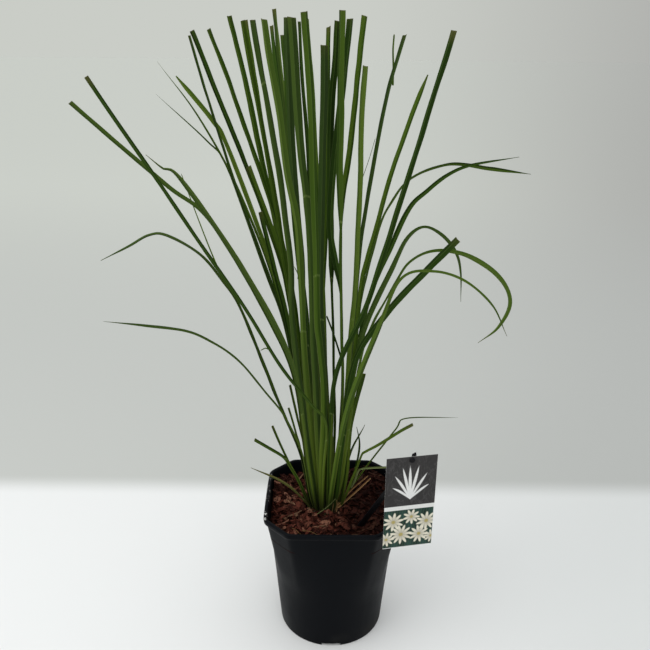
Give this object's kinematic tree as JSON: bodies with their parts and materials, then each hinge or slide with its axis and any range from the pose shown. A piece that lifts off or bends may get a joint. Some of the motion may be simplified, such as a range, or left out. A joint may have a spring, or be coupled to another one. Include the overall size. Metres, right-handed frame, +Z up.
{
  "type": "potted ornamental grass clump",
  "caption": "Upright clump of ornamental grass, its leaves cut level, in a chamfered black nursery pot with bark mulch and a plant label on a stake.",
  "frame": {"origin": "on the floor under the pot's axis, which is the middle of the bounding box's bottom face to within a few millimetres", "axes": "+Z up; -Y is the side that the picture shows, with the label at its right; +X to the right seen from there"},
  "size_m": [0.5282, 0.3349, 0.7824],
  "materials": {
    "pot_plastic": "satin",
    "potting_soil": "matte",
    "bark": "matte",
    "root_crown": "matte",
    "leaf_dark": "satin",
    "leaf_green": "satin",
    "leaf_light": "satin",
    "leaf_straw": "matte",
    "label_card": "satin",
    "stake_plastic": "satin"
  },
  "bodies": {
    "root": {"pot": "pot_plastic", "potting_soil": "potting_soil", "bark_mulch": "bark", "root_crown": "root_crown", "leaf_01_crossing_dark": "leaf_dark", "leaf_02_front_right_curl": "leaf_light", "leaf_03_left_pointed": "leaf_light", "leaf_04_tall_front": "leaf_green", "leaf_05_tall_right_crossing": "leaf_dark", "leaf_06_right_thick_cut": "leaf_dark", "leaf_07_low_left_straw": "leaf_straw", "leaf_08_left_low_droop": "leaf_green", "leaf_09_high_collar": "leaf_green", "leaf_10_broad_collared": "leaf_green", "leaf_11_tall_straight": "leaf_green", "leaf_12_right_long_curl": "leaf_light", "leaf_13_low_right_cut": "leaf_dark", "leaf_14_stub_left_low": "leaf_green", "leaf_15_long_left_cut": "leaf_green", "leaf_16_tall_light": "leaf_light", "leaf_17_front_short_cut": "leaf_dark", "leaf_18_right_pale_cut": "leaf_light", "leaf_19_right_short_cut": "leaf_dark", "leaf_20_left_high_droop": "leaf_green", "leaf_21_tall_light_left": "leaf_light", "leaf_22_tall_broad_dark": "leaf_dark", "leaf_23_tall_right_dark": "leaf_dark", "leaf_24_right_bowed": "leaf_green", "leaf_25_stub_right_thin": "leaf_green", "leaf_26_stub_left": "leaf_dark", "leaf_27_left_inner_short": "leaf_dark", "leaf_28_tall_left_inner": "leaf_green", "leaf_29_tall_middle_narrow": "leaf_dark", "leaf_30_tall_right_inner": "leaf_green", "leaf_31_right_pointed": "leaf_green", "leaf_32_stub_right_bent": "leaf_green", "leaf_33_stub_left_upright": "leaf_dark", "leaf_34_left_thin_tall": "leaf_dark", "leaf_35_left_inner_cut": "leaf_green", "leaf_36_tallest": "leaf_light", "leaf_37_tall_back_dark": "leaf_dark", "leaf_38_right_high_arch": "leaf_dark", "leaf_39_low_right_thin": "leaf_green", "leaf_40_stub_left_thin": "leaf_green", "leaf_41_left_torn_olive": "leaf_light", "leaf_42_tall_left": "leaf_dark", "leaf_43_tall_back_middle": "leaf_green", "leaf_44_right_far_arch": "leaf_green", "leaf_45_left_thin_high": "leaf_green", "leaf_46_tall_back_left": "leaf_green", "leaf_47_back_narrow": "leaf_dark", "leaf_48_back_narrow_right": "leaf_green", "leaf_49_left_thin_low": "leaf_green", "leaf_50_back_left_inner": "leaf_light", "leaf_51_back_middle": "leaf_dark", "leaf_52_back_right_tall": "leaf_dark", "plant_label": "label_card", "label_stake": "stake_plastic"}
  },
  "joints": []
}
